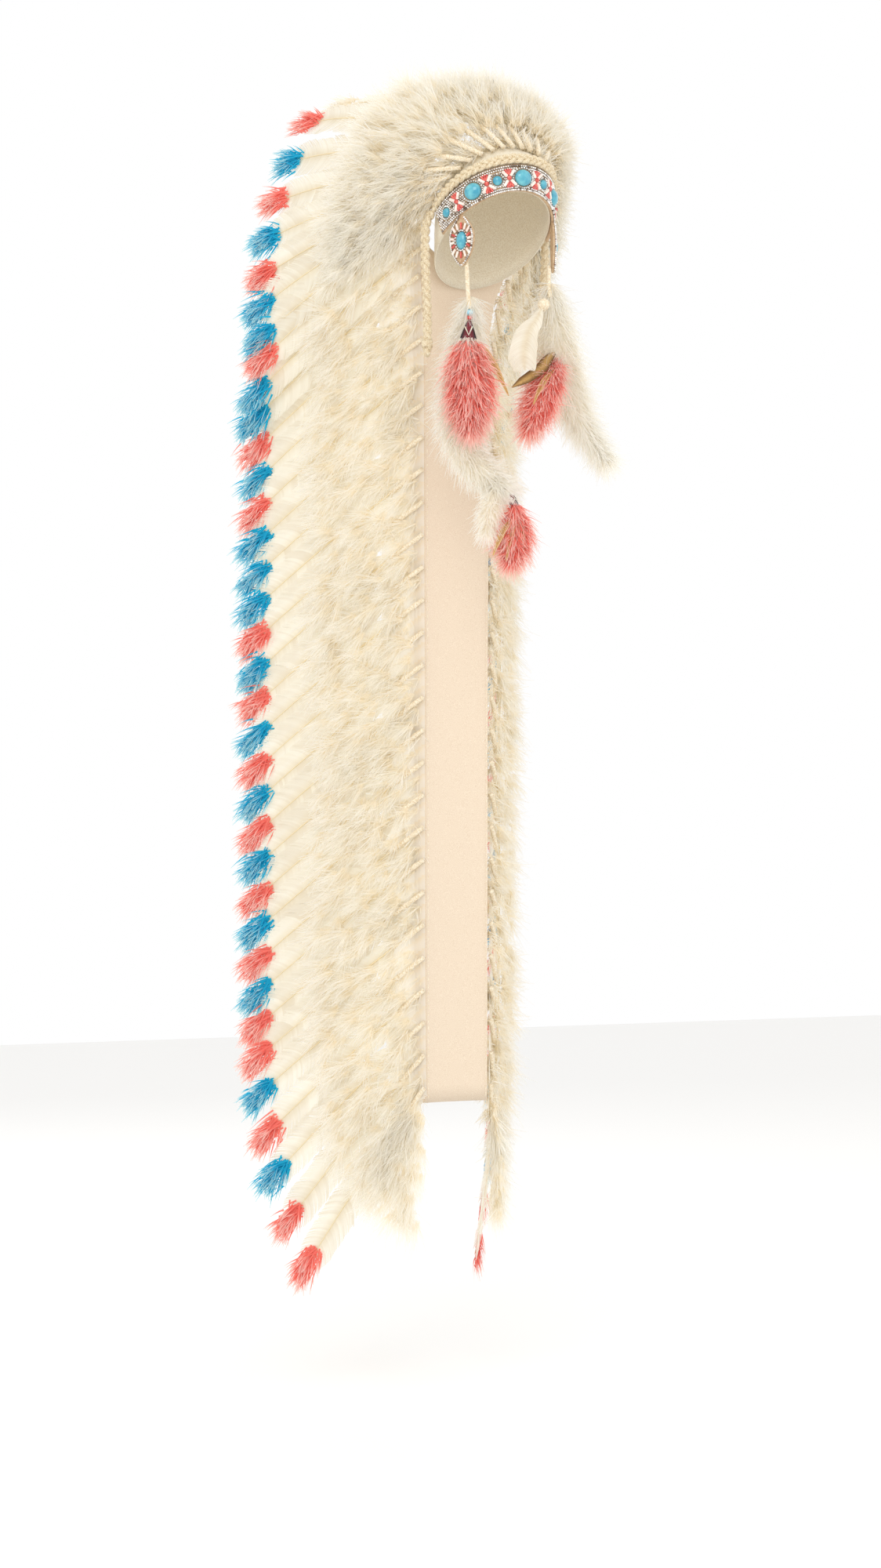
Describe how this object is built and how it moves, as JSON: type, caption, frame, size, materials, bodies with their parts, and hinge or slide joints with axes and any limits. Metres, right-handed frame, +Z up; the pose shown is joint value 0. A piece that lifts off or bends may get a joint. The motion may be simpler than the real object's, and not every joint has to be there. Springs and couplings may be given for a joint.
{
  "type": "feathered headdress",
  "caption": "Full-length feathered headdress with a beaded brow band, ear flaps, hanging drops, a felt cap and a long double trailer of white feathers with turquoise and coral tips.",
  "frame": {"origin": "middle of the head opening at the brow band's mid height, where it sits on a head", "axes": "+Z up, the wearer faces -Y, the wearer's right is -X, the trailer hangs down -Z behind the wearer at +Y"},
  "size_m": [0.4334, 0.4758, 1.7014],
  "materials": {
    "feather": "matte",
    "down": "matte",
    "felt": "matte",
    "leather": "matte",
    "braid": "matte",
    "cloth": "matte",
    "turquoise": "polished",
    "tube_bead": "gloss",
    "blue_bead": "gloss",
    "coral_bead": "gloss",
    "coral_fluff": "matte",
    "maroon_feather": "satin",
    "fur": "matte",
    "striped_feather": "matte"
  },
  "bodies": {
    "root": {"skull_cap": "felt", "brow_band": "leather", "brow_braid": "braid", "trailer_strip": "cloth", "trailer_yoke": "cloth", "brow_cabochon_1": "turquoise", "brow_cabochon_2": "turquoise", "brow_cabochon_3": "turquoise", "brow_cabochon_4": "turquoise", "brow_cabochon_5": "turquoise", "brow_cabochon_6": "turquoise", "brow_cabochon_7": "turquoise", "bead_star_1": "tube_bead", "bead_star_2": "tube_bead", "bead_star_3": "tube_bead", "bead_star_4": "tube_bead", "bead_star_5": "tube_bead", "bead_star_6": "tube_bead", "crown_feathers_right": "feather", "trailer_feathers_right": "feather", "crown_down_right": "down", "trailer_down_right": "down", "ear_flap_right": "leather", "flap_beads_right": "tube_bead", "flap_cabochon_right": "turquoise", "braid_tail_right": "braid", "drop_thong_right": "leather", "fur_tail_right": "fur", "crown_feathers_left": "feather", "trailer_feathers_left": "feather", "crown_down_left": "down", "trailer_down_left": "down", "ear_flap_left": "leather", "flap_beads_left": "tube_bead", "flap_cabochon_left": "turquoise", "braid_tail_left": "braid", "drop_thong_left": "leather", "fur_tail_left": "fur", "drop_blue_bead_right": "blue_bead", "drop_coral_bead_right": "coral_bead", "drop_feather_right": "maroon_feather", "drop_fluff_right": "coral_fluff", "tail_end_feather_right": "maroon_feather", "tail_end_fluff_right": "coral_fluff", "drop_ball_left": "down", "drop_oval_feather_left": "feather", "drop_striped_feather_left": "striped_feather", "drop_fluff_left": "coral_fluff"}
  },
  "joints": []
}
